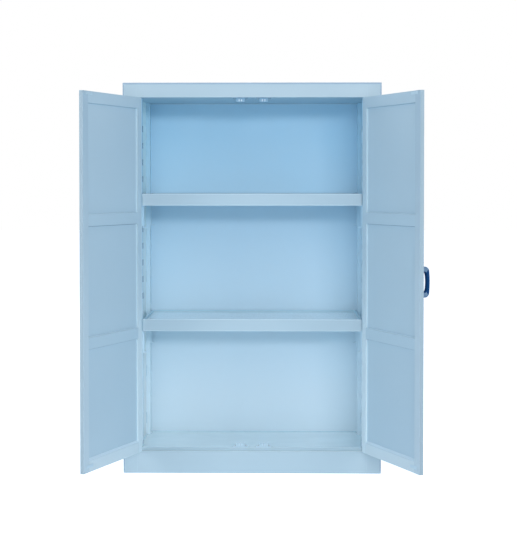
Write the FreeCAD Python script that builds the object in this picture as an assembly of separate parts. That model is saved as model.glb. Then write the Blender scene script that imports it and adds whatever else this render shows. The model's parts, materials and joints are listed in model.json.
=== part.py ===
"""Acid storage cabinet: a free-standing, double-walled cabinet welded from polypropylene sheet.

Two framed doors swing on pinned hinges in front of three compartments. Two shelves rest on
reversible clips that plug into slotted uprights, so a shelf lifts off and can be moved.
All sizes are in millimetres. +Z is up, the front faces -Y, and the origin is the centre of the
footprint on the floor. Everything is drawn with the doors shut, then each door is swung open.
"""

import FreeCAD, Part

import os

from FreeCAD import Vector

# Cabinet outside
WIDTH = 1090.0
DEPTH = 460.0
HEIGHT = 1650.0
SHEET = 8.0
CORNER_RADIUS = 6.0

# Front frame round the doors
STILE_WIDTH = 60.0
TOP_RAIL_HEIGHT = 62.0
BOTTOM_RAIL_HEIGHT = 92.0

# Inside of the cabinet
FLOOR_RISE = 1.5
SILL_HEIGHT = 13.5
SILL_DEPTH = 38.0
SILL_TO_DOOR = 2.0
WALL_RIBS = 4
BEARERS = 3

# Doors
DOOR_SKIN = 8.0
DOOR_STRIP = 8.0
DOOR_RAIL_WIDTH = 46.0
DOOR_MEETING_STILE = 42.0
DOOR_HINGE_STILE = 32.0
DOOR_PANELS = 3
DOOR_GAP = 2.0
MEETING_GAP = 3.0
LEFT_DOOR_ANGLE = 112.0
RIGHT_DOOR_ANGLE = 114.0

# Hinges
HINGES_PER_DOOR = 3
HINGE_HEIGHT = 90.0
HINGE_FROM_DOOR_END = 150.0
KNUCKLES = 3
KNUCKLE_RADIUS = 6.0
KNUCKLE_GAP = 0.3
BARREL_STANDOFF = 0.5
PIN_RADIUS = 3.0
PIN_CLEARANCE = 0.08
LEAF_THICKNESS = 4.0
LEAF_WIDTH = 36.0
LEAF_TO_BARREL = 1.5

# Magnetic catches and the strike plates that they hold
CATCH_FROM_CENTRE = 49.0
CATCH_WIDTH = 64.0
CATCH_BODY_WIDTH = 36.0
CATCH_HEIGHT = 18.0
CATCH_FLANGE = 4.0
CATCH_DEPTH = 28.0
POLE_THICKNESS = 3.0
POLE_HEIGHT = 10.0
POLE_LENGTH = 20.0
POLE_PROUD = 1.0
MAGNET_WIDTH = 8.0
STRIKE_WIDTH = 50.0
STRIKE_HEIGHT = 12.0
STRIKE_THICKNESS = 1.5
STRIKE_TO_POLE = 0.4

# Bow handle on the right door
HANDLE_LENGTH = 121.0
HANDLE_PROJECTION = 43.0
HANDLE_WIDTH = 20.0
HANDLE_GRIP = 12.0
HANDLE_LEG = 21.0
HANDLE_FROM_EDGE = 36.0
HANDLE_CENTRE_HEIGHT = 841.0
HANDLE_SHOULDER = 18.0
HANDLE_BOW = 5.0
HANDLE_EDGE_BEVEL = 3.0
HANDLE_BOLT_RADIUS = 2.5
HANDLE_BOLT_HEAD = 7.0
HANDLE_BOLT_HEAD_HEIGHT = 3.0
HANDLE_BOLT_SEAT = 10.0
HANDLE_BOLT_BITE = 6.0
HANDLE_BOLT_CLEARANCE = 0.1
CAP_RADIUS = 5.0
CAP_DEPTH = 5.0
CAP_CLEARANCE = 0.1

# Slotted uprights and the clips that plug into them
UPRIGHT_WIDTH = 40.0
UPRIGHT_DEPTH = 18.0
UPRIGHT_WALL = 4.0
FRONT_UPRIGHT_SETBACK = 40.0
REAR_UPRIGHT_SETBACK = 40.0
SLOT_WIDTH = 18.0
SLOT_HEIGHT = 20.0
SLOT_PITCH = 71.0
LOWEST_SLOT = 250.5
SLOTS_END_BELOW_CEILING = 100.0
TONGUE_CLEARANCE = 0.5
TONGUE_REACH = 6.0
CLIP_SHORT_END = 30.0
CLIP_PLATE = 5.0
CLIP_LEDGE = 16.0
SLOTS_UNDER_UPPER_SHELF = 12
SLOTS_UNDER_LOWER_SHELF = 4

# Shelves
SHELF_EDGE_HEIGHT = 50.0
SHELF_EDGE = 8.0
SHELF_DECK = 8.0
SHELF_LIP = 6.0
SHELF_RIBS = 3
SHELF_RIB_HEIGHT = 28.0
SHELF_EDGE_RADIUS = 2.0
SHELF_SIDE_GAP = 2.0
SHELF_BACK_GAP = 4.0
SHELF_TO_DOOR = 8.0

# Places that follow from the sizes above
SIDE = WIDTH / 2
FRONT = -DEPTH / 2
BACK = DEPTH / 2
INNER_FRONT = FRONT + SHEET
INNER_BACK = BACK - SHEET
TOP_UNDERSIDE = HEIGHT - SHEET
OPENING_SIDE = SIDE - STILE_WIDTH
OPENING_TOP = HEIGHT - TOP_RAIL_HEIGHT
OPENING_BOTTOM = BOTTOM_RAIL_HEIGHT
FLOOR_TOP = BOTTOM_RAIL_HEIGHT + FLOOR_RISE
SILL_TOP = FLOOR_TOP + SILL_HEIGHT
DOOR_BACK = FRONT + DOOR_SKIN + DOOR_STRIP
DOOR_BOTTOM = OPENING_BOTTOM + DOOR_GAP
DOOR_TOP = OPENING_TOP - DOOR_GAP
DOOR_HINGE_EDGE = OPENING_SIDE - DOOR_GAP
DOOR_FREE_EDGE = MEETING_GAP / 2
AXIS_X = OPENING_SIDE - DOOR_GAP / 2
AXIS_Y = FRONT - BARREL_STANDOFF - KNUCKLE_RADIUS
UPRIGHT_FACE = OPENING_SIDE - UPRIGHT_DEPTH
SHELF_SIDE = UPRIGHT_FACE - SHELF_SIDE_GAP
SHELF_FRONT = DOOR_BACK + SHELF_TO_DOOR
SHELF_BACK = INNER_BACK - SHELF_BACK_GAP
SLOTS = 1 + int((OPENING_TOP - SLOTS_END_BELOW_CEILING - LOWEST_SLOT) / SLOT_PITCH)
CLIP_LONG_END = CLIP_SHORT_END + SLOT_PITCH / 2
CATCH_FRONT = DOOR_BACK + STRIKE_THICKNESS + STRIKE_TO_POLE + POLE_PROUD
POLE_CENTRE = (CATCH_FLANGE + CATCH_HEIGHT) / 2
RIGHTWARD = Vector(1, 0, 0)
FRONTWARD = Vector(0, -1, 0)
UPWARD = Vector(0, 0, 1)


def block(x0, x1, y0, y1, z0, z1):
    """A rectangular block between two values on each axis."""
    return Part.makeBox(x1 - x0, y1 - y0, z1 - z0, Vector(x0, y0, z0))


def prism(points, push):
    """A closed outline of corner points, pushed along a vector."""
    outline = Part.makePolygon(points + points[:1])
    return Part.Face(outline).extrude(push)


def rounded(solid, radius, keep):
    """Rounds the straight or curved edges that the test keep picks out."""
    return solid.makeFillet(radius, [edge for edge in solid.Edges if keep(edge)])


def carved(solid, tools):
    """The solid with every tool cut out of it."""
    return solid.cut(tools).Solids[0] if tools else solid


def mirrored(shapes):
    """Left-hand copies of right-hand shapes."""
    return [shape.mirror(Vector(0, 0, 0), RIGHTWARD) for shape in shapes]


def spaced(count, low, high):
    """Evenly spaced places strictly between two ends."""
    step = (high - low) / (count + 1)
    return [low + step * (place + 1) for place in range(count)]


def is_upright(edge):
    """True where an edge runs straight up."""
    return abs(edge.tangentAt(edge.FirstParameter).z) > 0.99


def lies_at(edge, axis, value):
    """True where a whole edge keeps one coordinate."""
    box = edge.BoundBox
    low = getattr(box, axis + "Min")
    high = getattr(box, axis + "Max")
    return abs(low - value) < 0.01 and abs(high - value) < 0.01


# Places of the hinges and catches


def hinge_centres():
    """Heights of the hinge centres, evenly spread between the two end hinges."""
    low = DOOR_BOTTOM + HINGE_FROM_DOOR_END
    high = DOOR_TOP - HINGE_FROM_DOOR_END
    return [low] + spaced(HINGES_PER_DOOR - 2, low, high) + [high]


def catch_seats():
    """Where each catch is fixed: its middle, the height of its foot, and which way it stands."""
    return [(way * CATCH_FROM_CENTRE, seat, up) for way in (-1, 1) for seat, up in ((OPENING_TOP, -1), (SILL_TOP, 1))]


# Carcass


def side_shell():
    """Right outer wall, folded round the front corner into the door stile."""
    corners = [
        Vector(SIDE, BACK, SHEET),
        Vector(SIDE, FRONT, SHEET),
        Vector(OPENING_SIDE, FRONT, SHEET),
        Vector(OPENING_SIDE, INNER_FRONT, SHEET),
        Vector(SIDE - SHEET, INNER_FRONT, SHEET),
        Vector(SIDE - SHEET, BACK, SHEET),
    ]
    shell = prism(corners, UPWARD * (TOP_UNDERSIDE - SHEET))
    return rounded(shell, CORNER_RADIUS, lambda e: is_upright(e) and lies_at(e, "X", SIDE))


def end_panel(z0, z1):
    """A panel over the whole footprint, with the cabinet's rounded upright corners."""
    panel = block(-SIDE, SIDE, FRONT, BACK, z0, z1)
    return rounded(panel, CORNER_RADIUS, is_upright)


def liner():
    """Right inner wall, which carries the uprights."""
    return block(OPENING_SIDE, OPENING_SIDE + SHEET, INNER_FRONT, INNER_BACK, SHEET, TOP_UNDERSIDE)


def wall_ribs():
    """Ribs that tie the right liner to its outer wall."""
    heights = spaced(WALL_RIBS, SHEET, TOP_UNDERSIDE)
    inner = OPENING_SIDE + SHEET
    return [block(inner, SIDE - SHEET, INNER_FRONT, INNER_BACK, z - SHEET / 2, z + SHEET / 2) for z in heights]


def bearers(z0, z1):
    """Upright boards from front to back, between an outer panel and an inner one."""
    places = spaced(BEARERS, -OPENING_SIDE, OPENING_SIDE)
    return [block(x - SHEET / 2, x + SHEET / 2, INNER_FRONT, INNER_BACK, z0, z1) for x in places]


def sill_bar():
    """Spill bar along the front of the floor, notched round the front uprights."""
    y0 = DOOR_BACK + SILL_TO_DOOR
    y1 = y0 + SILL_DEPTH
    bar = block(-OPENING_SIDE, OPENING_SIDE, y0, y1, FLOOR_TOP, SILL_TOP)
    notch = block(UPRIGHT_FACE, OPENING_SIDE, FRONT + FRONT_UPRIGHT_SETBACK, y1, FLOOR_TOP, SILL_TOP)
    return carved(bar, [notch] + mirrored([notch]))


def carcass():
    """The fixed sheets of the cabinet."""
    shell = side_shell()
    wall = liner()
    ribs = wall_ribs()
    inside = (-OPENING_SIDE, OPENING_SIDE)
    return {
        "base_panel": [end_panel(0, SHEET)],
        "top_panel": [end_panel(TOP_UNDERSIDE, HEIGHT)],
        "side_shell_right": [shell],
        "side_shell_left": mirrored([shell]),
        "back_panel": [block(SHEET - SIDE, SIDE - SHEET, INNER_BACK, BACK, SHEET, TOP_UNDERSIDE)],
        "top_rail": [block(*inside, FRONT, INNER_FRONT, OPENING_TOP, TOP_UNDERSIDE)],
        "bottom_rail": [block(*inside, FRONT, INNER_FRONT, SHEET, OPENING_BOTTOM)],
        "liner_right": [wall],
        "liner_left": mirrored([wall]),
        "wall_ribs_right": ribs,
        "wall_ribs_left": mirrored(ribs),
        "floor_pan": [block(*inside, INNER_FRONT, INNER_BACK, FLOOR_TOP - SHEET, FLOOR_TOP)],
        "floor_bearers": bearers(SHEET, FLOOR_TOP - SHEET),
        "sill_bar": [sill_bar()],
        "ceiling_panel": [block(*inside, INNER_FRONT, INNER_BACK, OPENING_TOP, OPENING_TOP + SHEET)],
        "ceiling_bearers": bearers(OPENING_TOP + SHEET, TOP_UNDERSIDE),
    }


# Uprights and shelf clips


def slot_height(index):
    """Height of a slot's centre, counted from the lowest slot."""
    return LOWEST_SLOT + index * SLOT_PITCH


def upright(y):
    """A right-hand channel, slotted down its web, with its flanges against the liner."""
    low = y - UPRIGHT_WIDTH / 2
    high = y + UPRIGHT_WIDTH / 2
    channel = block(UPRIGHT_FACE, OPENING_SIDE, low, high, FLOOR_TOP, OPENING_TOP)
    back = UPRIGHT_FACE + UPRIGHT_WALL
    hollow = block(back, OPENING_SIDE, low + UPRIGHT_WALL, high - UPRIGHT_WALL, FLOOR_TOP, OPENING_TOP)
    half_width = SLOT_WIDTH / 2
    half_height = SLOT_HEIGHT / 2
    slots = [
        block(UPRIGHT_FACE, back, y - half_width, y + half_width, z - half_height, z + half_height)
        for z in map(slot_height, range(SLOTS))
    ]
    return carved(channel, [hollow] + slots)


def upright_places():
    """Depths of the front and rear uprights."""
    front = FRONT + FRONT_UPRIGHT_SETBACK + UPRIGHT_WIDTH / 2
    rear = BACK - REAR_UPRIGHT_SETBACK - UPRIGHT_WIDTH / 2
    return front, rear


def clip(y, slot, above, below):
    """A right-hand clip: a plate with a ledge at each end and a tongue through the slot."""
    z = slot_height(slot)
    face = UPRIGHT_FACE
    half_tongue = SLOT_HEIGHT / 2 - TONGUE_CLEARANCE
    tongue_end = face + UPRIGHT_WALL + TONGUE_REACH
    outline = [
        (face - CLIP_LEDGE, above),
        (face, above),
        (face, half_tongue),
        (tongue_end, half_tongue),
        (tongue_end, -half_tongue),
        (face, -half_tongue),
        (face, -below),
        (face - CLIP_LEDGE, -below),
        (face - CLIP_LEDGE, CLIP_PLATE - below),
        (face - CLIP_PLATE, CLIP_PLATE - below),
        (face - CLIP_PLATE, above - CLIP_PLATE),
        (face - CLIP_LEDGE, above - CLIP_PLATE),
    ]
    half_width = SLOT_WIDTH / 2 - TONGUE_CLEARANCE
    points = [Vector(x, y - half_width, z + up) for x, up in outline]
    return prism(points, Vector(0, 2 * half_width, 0))


def clips(slot, above, below):
    """The four clips of one shelf."""
    right = [clip(y, slot, above, below) for y in upright_places()]
    return right + mirrored(right)


def racking():
    """The four uprights and both sets of clips. The lower set is turned over."""
    front, rear = [upright(y) for y in upright_places()]
    return {
        "upright_front_right": [front],
        "upright_front_left": mirrored([front]),
        "upright_rear_right": [rear],
        "upright_rear_left": mirrored([rear]),
        "shelf_clips_upper": clips(SLOTS_UNDER_UPPER_SHELF, CLIP_SHORT_END, CLIP_LONG_END),
        "shelf_clips_lower": clips(SLOTS_UNDER_LOWER_SHELF, CLIP_LONG_END, CLIP_SHORT_END),
    }


# Shelves


def shelf(name, underside):
    """A tray-like shelf: a deck welded between four edge boards, with ribs under it."""
    top = underside + SHELF_EDGE_HEIGHT
    deck_top = top - SHELF_LIP
    deck_low = deck_top - SHELF_DECK
    inner_side = SHELF_SIDE - SHELF_EDGE
    inner_front = SHELF_FRONT + SHELF_EDGE
    inner_back = SHELF_BACK - SHELF_EDGE
    front = block(-SHELF_SIDE, SHELF_SIDE, SHELF_FRONT, inner_front, underside, top)
    front = rounded(front, SHELF_EDGE_RADIUS, lambda e: lies_at(e, "Y", SHELF_FRONT) and not is_upright(e))
    end = block(inner_side, SHELF_SIDE, inner_front, inner_back, underside, top)
    ribs = [
        block(x - SHELF_EDGE / 2, x + SHELF_EDGE / 2, inner_front, inner_back, deck_low - SHELF_RIB_HEIGHT, deck_low)
        for x in spaced(SHELF_RIBS, -inner_side, inner_side)
    ]
    return {
        name + "_deck": [block(-inner_side, inner_side, inner_front, inner_back, deck_low, deck_top)],
        name + "_front_edge": [front],
        name + "_back_edge": [block(-SHELF_SIDE, SHELF_SIDE, inner_back, SHELF_BACK, underside, top)],
        name + "_end_edges": [end] + mirrored([end]),
        name + "_ribs": ribs,
    }


def shelves():
    """Both shelves, at the height that their clips give them."""
    upper = shelf("shelf_upper", slot_height(SLOTS_UNDER_UPPER_SHELF) + CLIP_SHORT_END)
    lower = shelf("shelf_lower", slot_height(SLOTS_UNDER_LOWER_SHELF) + CLIP_LONG_END)
    return {**upper, **lower}


# Magnetic catches


def catch_case(x, seat, up):
    """A hat-shaped case with a pocket in its front for the magnet and its two poles."""
    half_body = CATCH_BODY_WIDTH / 2
    half_width = CATCH_WIDTH / 2
    outline = [
        (-half_width, 0),
        (half_width, 0),
        (half_width, CATCH_FLANGE),
        (half_body, CATCH_FLANGE),
        (half_body, CATCH_HEIGHT),
        (-half_body, CATCH_HEIGHT),
        (-half_body, CATCH_FLANGE),
        (-half_width, CATCH_FLANGE),
    ]
    points = [Vector(x + across, CATCH_FRONT, seat + up * height) for across, height in outline]
    case = prism(points, Vector(0, CATCH_DEPTH, 0))
    half_pocket = MAGNET_WIDTH / 2 + POLE_THICKNESS
    return carved(case, [pole_space(x - half_pocket, x + half_pocket, seat, up, 0)])


def pole_space(x0, x1, seat, up, proud):
    """A block in the pocket of a catch, standing out of its front by proud."""
    z = seat + up * POLE_CENTRE
    y1 = CATCH_FRONT + POLE_LENGTH
    return block(x0, x1, CATCH_FRONT - proud, y1, z - POLE_HEIGHT / 2, z + POLE_HEIGHT / 2)


def catches():
    """Two catches under the ceiling and two on the sill bar."""
    half_magnet = MAGNET_WIDTH / 2
    poles = []
    for x, seat, up in catch_seats():
        poles.append(pole_space(x - half_magnet - POLE_THICKNESS, x - half_magnet, seat, up, POLE_PROUD))
        poles.append(pole_space(x + half_magnet, x + half_magnet + POLE_THICKNESS, seat, up, POLE_PROUD))
    return {
        "catch_cases": [catch_case(x, seat, up) for x, seat, up in catch_seats()],
        "catch_magnets": [pole_space(x - half_magnet, x + half_magnet, seat, up, 0) for x, seat, up in catch_seats()],
        "catch_poles": poles,
    }


# Hinges


def knuckle_spans(first):
    """Height ranges of every second knuckle along a hinge, counted from first."""
    pitch = HINGE_HEIGHT / KNUCKLES
    spans = []
    for place in range(first, KNUCKLES, 2):
        low = place * pitch + KNUCKLE_GAP / 2
        spans.append((low, low + pitch - KNUCKLE_GAP))
    return spans


def hinge_leaf(centre, way, first, bore):
    """One leaf of a right-hand hinge. way is +1 for the frame's side and -1 for the door's."""
    low = centre - HINGE_HEIGHT / 2
    near = KNUCKLE_RADIUS + LEAF_TO_BARREL
    x0, x1 = sorted((AXIS_X + way * near, AXIS_X + way * LEAF_WIDTH))
    leaf = block(x0, x1, FRONT - LEAF_THICKNESS, FRONT, low, low + HINGE_HEIGHT)
    bores = []
    for z0, z1 in knuckle_spans(first):
        foot = Vector(AXIS_X, AXIS_Y, low + z0)
        knuckle = Part.makeCylinder(KNUCKLE_RADIUS, z1 - z0, foot, UPWARD)
        x0, x1 = sorted((AXIS_X, AXIS_X + way * near))
        neck = block(x0, x1, FRONT - LEAF_THICKNESS, FRONT - BARREL_STANDOFF, low + z0, low + z1)
        leaf = leaf.fuse(knuckle).fuse(neck)
        bores.append(Part.makeCylinder(bore, z1 - z0, foot, UPWARD))
    return carved(leaf.removeSplitter(), bores)


def hinge_pin(centre):
    """A pin fixed in the frame's knuckles."""
    return Part.makeCylinder(PIN_RADIUS, HINGE_HEIGHT, Vector(AXIS_X, AXIS_Y, centre - HINGE_HEIGHT / 2), UPWARD)


def frame_hinges():
    """The half of every hinge that stays on the cabinet."""
    leaves = [hinge_leaf(z, 1, 0, PIN_RADIUS) for z in hinge_centres()]
    pins = [hinge_pin(z) for z in hinge_centres()]
    return {
        "hinge_leaves_frame_right": leaves,
        "hinge_leaves_frame_left": mirrored(leaves),
        "hinge_pins": pins + mirrored(pins),
    }


# Doors


def door_rails():
    """Cross strips on the back of the right door: one at each end and one between each two panels."""
    x0 = DOOR_FREE_EDGE + DOOR_MEETING_STILE
    x1 = DOOR_HINGE_EDGE - DOOR_HINGE_STILE
    step = (DOOR_TOP - DOOR_BOTTOM - DOOR_RAIL_WIDTH) / DOOR_PANELS
    lows = [DOOR_BOTTOM + step * place for place in range(DOOR_PANELS + 1)]
    return [block(x0, x1, FRONT + DOOR_SKIN, DOOR_BACK, z, z + DOOR_RAIL_WIDTH) for z in lows]


def door_strip(x0, x1):
    """An upright strip on the back of the right door."""
    return block(x0, x1, FRONT + DOOR_SKIN, DOOR_BACK, DOOR_BOTTOM, DOOR_TOP)


def strikes():
    """Plates that the catches hold, near the top and bottom of the right door."""
    x0 = CATCH_FROM_CENTRE - STRIKE_WIDTH / 2
    x1 = CATCH_FROM_CENTRE + STRIKE_WIDTH / 2
    y1 = DOOR_BACK + STRIKE_THICKNESS
    half = STRIKE_HEIGHT / 2
    heights = (SILL_TOP + POLE_CENTRE, OPENING_TOP - POLE_CENTRE)
    return [block(x0, x1, DOOR_BACK, y1, z - half, z + half) for z in heights]


def door(side, holes):
    """Every piece of a shut right-hand door, named for its side and drilled for its handle."""
    skin = block(DOOR_FREE_EDGE, DOOR_HINGE_EDGE, FRONT, FRONT + DOOR_SKIN, DOOR_BOTTOM, DOOR_TOP)
    meeting_strip = door_strip(DOOR_FREE_EDGE, DOOR_FREE_EDGE + DOOR_MEETING_STILE)
    return {
        "door_skin_" + side: [carved(skin, holes)],
        "door_hinge_stile_" + side: [door_strip(DOOR_HINGE_EDGE - DOOR_HINGE_STILE, DOOR_HINGE_EDGE)],
        "door_meeting_stile_" + side: [carved(meeting_strip, holes)],
        "door_rails_" + side: door_rails(),
        "door_strikes_" + side: strikes(),
        "hinge_leaves_door_" + side: [hinge_leaf(z, -1, 1, PIN_RADIUS + PIN_CLEARANCE) for z in hinge_centres()],
    }


# Bow handle


def handle_bolt_places():
    """Points on the door's face behind the two legs of the handle."""
    x = DOOR_FREE_EDGE + HANDLE_FROM_EDGE
    offset = (HANDLE_LENGTH - HANDLE_LEG) / 2
    return [Vector(x, FRONT, HANDLE_CENTRE_HEIGHT + way * offset) for way in (-1, 1)]


def bow(half, reach, shoulder):
    """A solid bow from one foot to the other: two legs and an arched back, rounded where they meet."""
    x = DOOR_FREE_EDGE + HANDLE_FROM_EDGE - HANDLE_WIDTH / 2
    crest = FRONT - reach + HANDLE_BOW
    corners = [(FRONT, -half), (crest, -half), (crest, half), (FRONT, half)]
    low_foot, low_crest, high_crest, high_foot = [Vector(x, y, HANDLE_CENTRE_HEIGHT + up) for y, up in corners]
    middle = Vector(x, FRONT - reach, HANDLE_CENTRE_HEIGHT)
    edges = [
        Part.makeLine(low_foot, low_crest),
        Part.Arc(low_crest, middle, high_crest).toShape(),
        Part.makeLine(high_crest, high_foot),
        Part.makeLine(high_foot, low_foot),
    ]
    solid = Part.Face(Part.Wire(edges)).extrude(RIGHTWARD * HANDLE_WIDTH)
    return rounded(solid, shoulder, lambda e: lies_at(e, "Y", crest) and not is_upright(e))


def handle_blank():
    """The bow handle before it is drilled, bevelled along its outer rims."""
    half = HANDLE_LENGTH / 2
    x0 = DOOR_FREE_EDGE + HANDLE_FROM_EDGE - HANDLE_WIDTH / 2
    x1 = x0 + HANDLE_WIDTH

    def is_rim(edge):
        on_side = lies_at(edge, "X", x0) or lies_at(edge, "X", x1)
        return on_side and not lies_at(edge, "Y", FRONT)

    outer = bow(half, HANDLE_PROJECTION, HANDLE_SHOULDER)
    outer = outer.makeChamfer(HANDLE_EDGE_BEVEL, [edge for edge in outer.Edges if is_rim(edge)])
    inner = bow(half - HANDLE_LEG, HANDLE_PROJECTION - HANDLE_GRIP, HANDLE_SHOULDER - HANDLE_GRIP / 2)
    return carved(outer, [inner])


def handle_set():
    """The handle, the bolts in its legs and the caps over them, and the holes that the door needs."""
    blank = handle_blank()
    bores, bolts, caps, door_holes = [], [], [], []
    for foot in handle_bolt_places():
        seat = foot + FRONTWARD * HANDLE_BOLT_SEAT
        reach = DOOR_SKIN + HANDLE_BOLT_BITE
        bolt_hole = HANDLE_BOLT_RADIUS + HANDLE_BOLT_CLEARANCE
        bores.append(Part.makeCylinder(CAP_RADIUS, HANDLE_PROJECTION, seat, FRONTWARD))
        bores.append(Part.makeCylinder(bolt_hole, HANDLE_BOLT_SEAT, foot, FRONTWARD))
        half = HANDLE_BOLT_HEAD / 2
        crown = seat.y - HANDLE_BOLT_HEAD_HEIGHT
        head = block(seat.x - half, seat.x + half, crown, seat.y, seat.z - half, seat.z + half)
        shank = Part.makeCylinder(HANDLE_BOLT_RADIUS, HANDLE_BOLT_SEAT + reach, seat, -FRONTWARD)
        bolts.append(head.fuse(shank).removeSplitter().Solids[0])
        door_holes.append(Part.makeCylinder(bolt_hole, reach + HANDLE_BOLT_CLEARANCE, foot, -FRONTWARD))
        plug = Part.makeCylinder(CAP_RADIUS - CAP_CLEARANCE, HANDLE_PROJECTION, seat, FRONTWARD).common(blank)
        crown = FRONT - plug.BoundBox.YMin
        caps.append(plug.cut(block(-SIDE, SIDE, FRONT - crown + CAP_DEPTH, FRONT, 0, HEIGHT)).Solids[0])
    return [carved(blank, bores)], bolts, caps, door_holes


def swung(pieces, side, angle):
    """A shut door's pieces turned about its hinge axis, opening towards the front."""
    opened = {}
    for name, solids in pieces.items():
        turned = solids if side == "right" else mirrored(solids)
        way = 1 if side == "right" else -1
        for solid in turned:
            solid.rotate(Vector(way * AXIS_X, AXIS_Y, 0), UPWARD, way * angle)
        opened[name] = turned
    return opened


def doors():
    """Both doors in the open pose, the right one with its handle."""
    handle, bolts, caps, holes = handle_set()
    right = door("right", holes)
    right["handle"] = handle
    right["handle_bolts"] = bolts
    right["handle_caps"] = caps
    left = door("left", [])
    return {**swung(left, "left", LEFT_DOOR_ANGLE), **swung(right, "right", RIGHT_DOOR_ANGLE)}


def main():
    """Builds every node and writes one STEP file for each."""
    os.makedirs("parts", exist_ok=True)
    nodes = {**carcass(), **racking(), **shelves(), **catches(), **frame_hinges(), **doors()}
    for name, solids in nodes.items():
        shape = solids[0] if len(solids) == 1 else Part.makeCompound(solids)
        if not shape.isValid():
            print("not valid:", name)
        shape.exportStep("parts/" + name + ".step")
    print(len(nodes), "nodes,", sum(len(solids) for solids in nodes.values()), "solids")


main()
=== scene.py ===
# %% [markdown]
# # An acid storage cabinet, dressed over its fixed frame
#
# The cabinet is welded from pale blue plastic sheet, with two framed doors, two tray shelves and a
# navy bow handle. Its solids arrive finished and in place. This lesson eases their edges, adds the
# weld beads, screws and collars that a welder and a fitter would leave, and gives each its finish.

# %% Load the frame
import json
from contextlib import contextmanager
from math import asin, cos, pi, radians

import bmesh
import bpy
from mathutils import Matrix, Vector

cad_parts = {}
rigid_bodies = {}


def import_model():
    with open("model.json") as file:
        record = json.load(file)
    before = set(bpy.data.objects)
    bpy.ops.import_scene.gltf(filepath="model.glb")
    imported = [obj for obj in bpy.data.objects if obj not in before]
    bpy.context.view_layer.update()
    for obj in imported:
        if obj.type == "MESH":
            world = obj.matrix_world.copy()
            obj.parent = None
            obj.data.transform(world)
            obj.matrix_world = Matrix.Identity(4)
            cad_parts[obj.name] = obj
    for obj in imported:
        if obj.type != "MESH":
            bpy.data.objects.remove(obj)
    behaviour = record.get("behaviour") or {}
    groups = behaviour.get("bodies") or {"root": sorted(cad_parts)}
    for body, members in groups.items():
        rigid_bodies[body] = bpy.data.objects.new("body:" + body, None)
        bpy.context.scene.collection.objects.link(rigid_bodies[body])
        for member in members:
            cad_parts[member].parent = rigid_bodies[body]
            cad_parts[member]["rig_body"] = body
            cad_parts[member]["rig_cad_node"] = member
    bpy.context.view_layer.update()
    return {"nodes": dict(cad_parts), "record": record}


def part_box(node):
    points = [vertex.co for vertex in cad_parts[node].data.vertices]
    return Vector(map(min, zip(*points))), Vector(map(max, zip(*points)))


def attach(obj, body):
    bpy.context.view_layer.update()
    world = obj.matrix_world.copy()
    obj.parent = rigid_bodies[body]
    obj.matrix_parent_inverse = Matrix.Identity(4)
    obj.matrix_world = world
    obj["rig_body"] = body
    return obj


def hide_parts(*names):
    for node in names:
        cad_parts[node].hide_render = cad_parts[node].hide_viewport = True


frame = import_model()
scene = bpy.context.scene
record = frame["record"]
body_of = {node: body for body, nodes in record["behaviour"]["bodies"].items() for node in nodes}
slot_of = {part["node"]: part["material_slot"] for part in record["subparts"]}
MM = 0.001
SIGN = {"right": 1, "left": -1}

# %% [markdown]
# The photograph was taken from about five and a half metres away, a little to the right of the
# middle and above half height, with a long lens. A camera could be placed by eye, but a wrong
# distance bends every parallel line. This one was solved from the corners of the front, the shelves
# and the doors, so the picture's frame is used as it is, and the shift carries its framing.

# %% Camera
CAMERA_PLACE = Vector((0.118, -5.776, 1.2166))
CAMERA_YAW = radians(0.91)
CAMERA_PITCH = radians(-1.31)
LENS_MM = 84.69
SENSOR_MM = 36
PICTURE_SHIFT = (-0.00095, -0.1146)
VIEW_END = 100

camera = bpy.data.objects.new("camera", bpy.data.cameras.new("camera"))
scene.collection.objects.link(camera)
camera.location = CAMERA_PLACE
camera.rotation_euler = (pi / 2 + CAMERA_PITCH, 0, CAMERA_YAW)
camera.data.sensor_fit = "VERTICAL"
camera.data.sensor_height = SENSOR_MM
camera.data.lens = LENS_MM
camera.data.shift_x, camera.data.shift_y = PICTURE_SHIFT
camera.data.clip_end = VIEW_END
scene.camera = camera

# %% [markdown]
# The cabinet stands in a white studio. One long, flat softbox high in front throws the soft-edged
# shadow that each shelf leaves on the back wall. Two weaker ones light the open doors from the
# sides, a high one reaches the shelf decks, and four behind the front plane light the top, the back
# and the outer walls for whoever walks round it. A world colour alone would give no shadow, and a
# small lamp would give a hard one.

# %% Lamps
LAMP_WHITE = (0.975, 0.950, 0.985)
AIM = Vector((0, 0, 0.85))


def softbox(name, place, size, power):
    """Hangs a rectangular lamp that faces the cabinet."""
    bpy.ops.object.light_add(type="AREA", location=place)
    lamp = bpy.context.active_object
    lamp.name = name
    lamp.data.shape = "RECTANGLE"
    lamp.data.size, lamp.data.size_y = size
    lamp.data.energy = power
    lamp.data.color = LAMP_WHITE
    lamp.rotation_euler = (AIM - place).to_track_quat("-Z", "Y").to_euler()


softbox("key", Vector((2.0, -10.7, 3.05)), size=(5.0, 0.85), power=228)
softbox("left_fill", Vector((-6, -7, 2)), size=(2.5, 2.5), power=138)
softbox("right_fill", Vector((6, -7, 2)), size=(2.5, 2.5), power=98)
softbox("high_fill", Vector((0.5, -7.5, 5.2)), size=(5, 4), power=108)
softbox("back_fill", Vector((-2.5, 5.5, 5.5)), size=(5, 3), power=160)
softbox("top_fill", Vector((0, 0.5, 5)), size=(3, 2), power=26)
for way in (-1, 1):
    softbox("side_fill", Vector((way * 7, 1.8, 2.6)), size=(2.5, 3), power=42)

# %% [markdown]
# The white room fills what the lamps leave dark. The camera sees it as pure white, while the light
# that it gives is weaker and a touch bluer than the lamps', so that the shadows stay a clear blue.

# %% Room
ROOM_LIGHT = 0.22
ROOM_WHITE = (0.80, 0.92, 1.10)

scene.view_settings.view_transform = "Standard"
room = bpy.data.worlds.new("white_room")
scene.world = room
room.use_nodes = True
air = room.node_tree
air.nodes.clear()


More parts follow.
